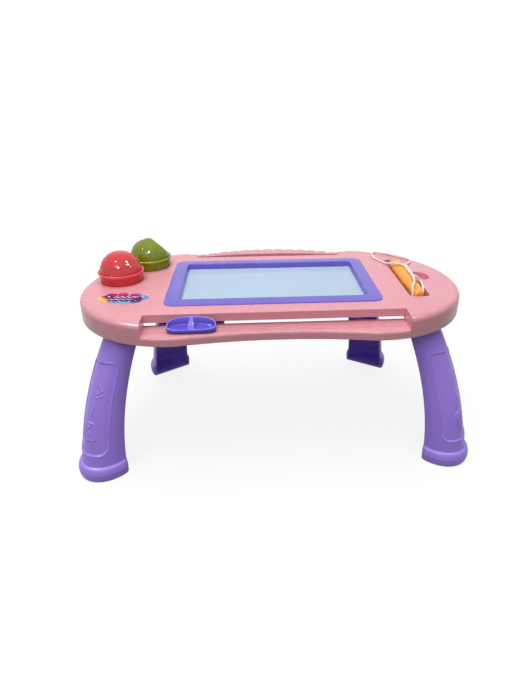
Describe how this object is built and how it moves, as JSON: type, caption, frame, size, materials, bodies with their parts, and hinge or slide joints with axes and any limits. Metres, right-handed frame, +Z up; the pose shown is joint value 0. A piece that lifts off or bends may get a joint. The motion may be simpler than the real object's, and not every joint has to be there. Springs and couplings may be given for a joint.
{
  "type": "activity table",
  "caption": "Oval children's table with a magnetic drawing screen, sliding eraser, domed stampers, a corded pen in its tray, a carry handle and curved plug-in legs.",
  "frame": {"origin": "on the floor under the middle of the overall box, which the four feet define", "axes": "+X to the user's right along the screen's long side, +Y away from the user towards the carry handle, +Z up"},
  "size_m": [0.552, 0.3438, 0.2741],
  "materials": {
    "pink_shell": "glossy moulded plastic",
    "pink_hidden": "moulded plastic",
    "violet_frame": "glossy moulded plastic",
    "clear_film": "clear sheet",
    "honeycomb": "milky cells",
    "white_film": "milky sheet",
    "steel": "zinc plated",
    "violet_slider": "glossy moulded plastic",
    "violet_carriage": "moulded plastic",
    "magnet": "rubber magnet",
    "violet_leg": "glossy moulded plastic",
    "red_dome": "translucent tinted plastic",
    "red_cup": "glossy moulded plastic",
    "green_dome": "translucent tinted plastic",
    "green_cup": "glossy moulded plastic",
    "orange_pen": "glossy moulded plastic",
    "pen_tip_metal": "plated magnet",
    "white_cord": "braided cord",
    "label": "printed label"
  },
  "bodies": {
    "table": {"table_top": "pink_shell", "screen_frame": "violet_frame", "clear_film": "clear_film", "honeycomb_core": "honeycomb", "back_film": "white_film", "frame_screws": "steel", "rear_guide": "pink_hidden", "guide_screws": "steel", "leg_front_left": "violet_leg", "leg_front_right": "violet_leg", "leg_back_left": "violet_leg", "leg_back_right": "violet_leg", "cord_knot": "white_cord", "sticker": "label"},
    "eraser": {"eraser_dish": "violet_slider", "eraser_carriage": "violet_carriage", "eraser_magnet": "magnet"},
    "red_stamp": {"red_stamp_dome": "red_dome", "red_stamp_cup": "red_cup", "red_stamp_magnet": "magnet"},
    "green_stamp": {"green_stamp_dome": "green_dome", "green_stamp_cup": "green_cup", "green_stamp_magnet": "magnet"},
    "pen": {"pen_barrel": "orange_pen", "pen_nose": "orange_pen", "pen_magnet": "pen_tip_metal", "pen_cord": "white_cord"}
  },
  "joints": [
    {"name": "eraser_slide", "type": "slide", "parent": "table", "child": "eraser", "axis": [1, 0, 0], "range_m": [-0.0205, 0.2305]},
    {"name": "red_stamp_lift", "type": "slide", "parent": "table", "child": "red_stamp", "axis": [0, 0, 1], "range_m": [0, 0.06]},
    {"name": "green_stamp_lift", "type": "slide", "parent": "table", "child": "green_stamp", "axis": [0, 0, 1], "range_m": [0, 0.06]},
    {"name": "pen_lift", "type": "slide", "parent": "table", "child": "pen", "axis": [0, 0, 1], "range_m": [0, 0.06]}
  ]
}
